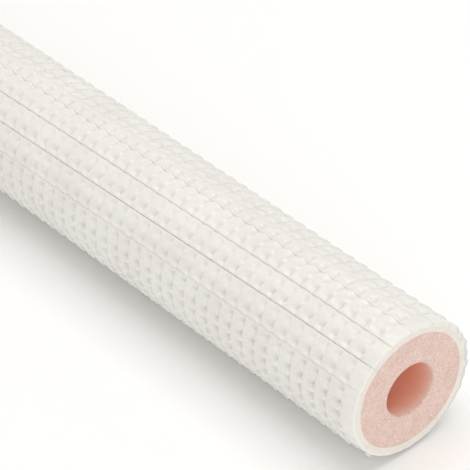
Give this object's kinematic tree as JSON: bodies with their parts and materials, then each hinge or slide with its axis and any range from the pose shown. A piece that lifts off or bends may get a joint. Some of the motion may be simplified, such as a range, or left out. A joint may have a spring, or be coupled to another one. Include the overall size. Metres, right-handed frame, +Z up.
{
  "type": "pipe insulation lagging",
  "caption": "Straight length of pink foam pipe insulation with an open round bore, wrapped in a white embossed jacket whose bumps run in rows between lengthwise creases.",
  "frame": {"origin": "on the bore's axis at mid length", "axes": "X along the tube, with the end seen in the picture at +X; +Z up, through one of the creases; the tube lies level as in the picture"},
  "size_m": [1, 0.0446, 0.0444],
  "materials": {
    "pink_foam": "fine closed-cell polyethylene foam, cut ends",
    "white_jacket": "embossed foamed film, soft sheen"
  },
  "bodies": {
    "root": {"foam_tube": "pink_foam", "embossed_jacket": "white_jacket"}
  },
  "joints": []
}
